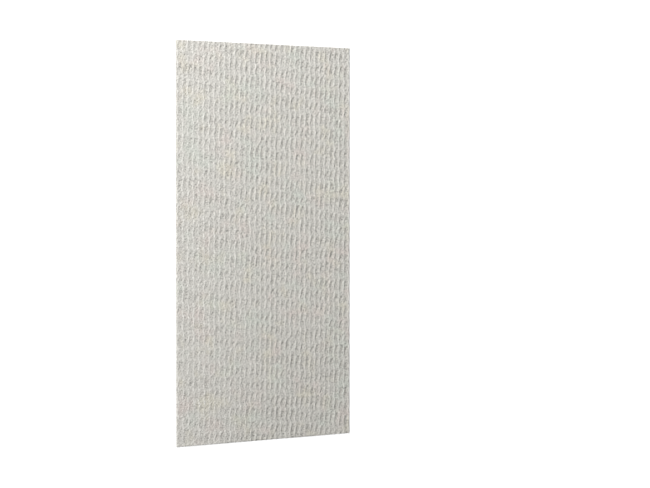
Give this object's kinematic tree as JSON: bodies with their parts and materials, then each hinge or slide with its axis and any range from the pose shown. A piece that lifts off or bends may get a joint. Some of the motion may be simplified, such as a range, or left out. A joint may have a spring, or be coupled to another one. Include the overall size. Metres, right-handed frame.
{
  "type": "flexible stone veneer panel",
  "caption": "Thin rectangular wall-cladding sheet of moulded stone, with a flat back for bonding and a face of parallel flutes broken into rows of chisel bites.",
  "frame": {"origin": "middle of the flat back, where the panel lies on the floor or is bonded to a wall", "axes": "+X across the width, +Y along the flutes towards the deep ends of the bites, +Z out of the tooled face"},
  "size_m": [0.6, 1.2, 0.004],
  "materials": {
    "tooled_stone": "matte pale grey stone with a sandy grain and faint warm mottling"
  },
  "bodies": {
    "root": {"veneer_panel": "tooled_stone"}
  },
  "joints": []
}
